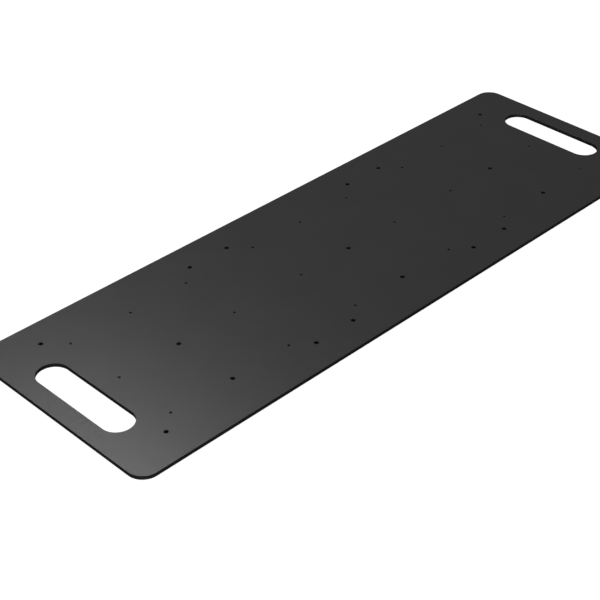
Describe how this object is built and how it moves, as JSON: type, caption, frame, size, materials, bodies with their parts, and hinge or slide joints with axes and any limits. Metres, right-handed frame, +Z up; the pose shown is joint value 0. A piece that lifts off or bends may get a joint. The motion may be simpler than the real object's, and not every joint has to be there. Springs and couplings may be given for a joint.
{
  "type": "pedalboard base plate",
  "caption": "Flat rounded pedalboard base sheet with a hand slot at each end and bays of small through holes for bolting pedals or brackets.",
  "frame": {"origin": "middle of the underside", "axes": "+X along the length towards the right end, +Y towards the back edge, +Z up out of the top face"},
  "size_m": [0.93, 0.3, 0.005],
  "materials": {
    "black_coat": "fine satin black powder coat on sheet aluminium"
  },
  "bodies": {
    "root": {"plate": "black_coat"}
  },
  "joints": []
}
